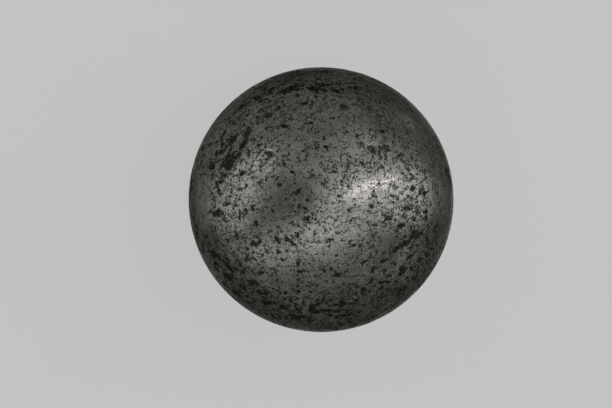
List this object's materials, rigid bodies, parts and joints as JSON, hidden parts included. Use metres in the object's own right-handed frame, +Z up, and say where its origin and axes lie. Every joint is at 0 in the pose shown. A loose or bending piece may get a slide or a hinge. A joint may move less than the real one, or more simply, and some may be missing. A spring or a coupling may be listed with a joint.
{
  "type": "metal ball",
  "caption": "Solid steel ball with a worn, finely pitted surface, for rolling, weighing down, bearing or grinding.",
  "frame": {"origin": "centre of the ball", "axes": "+Z up, away from the point that the ball rests on and towards the side seen in the picture; the picture's right is +X and its top is +Y"},
  "size_m": [0.05, 0.05, 0.05],
  "materials": {
    "pitted_steel": "worn bright steel, dulled all over by fine pits that are filled with black oxide"
  },
  "bodies": {
    "root": {"ball": "pitted_steel"}
  },
  "joints": []
}
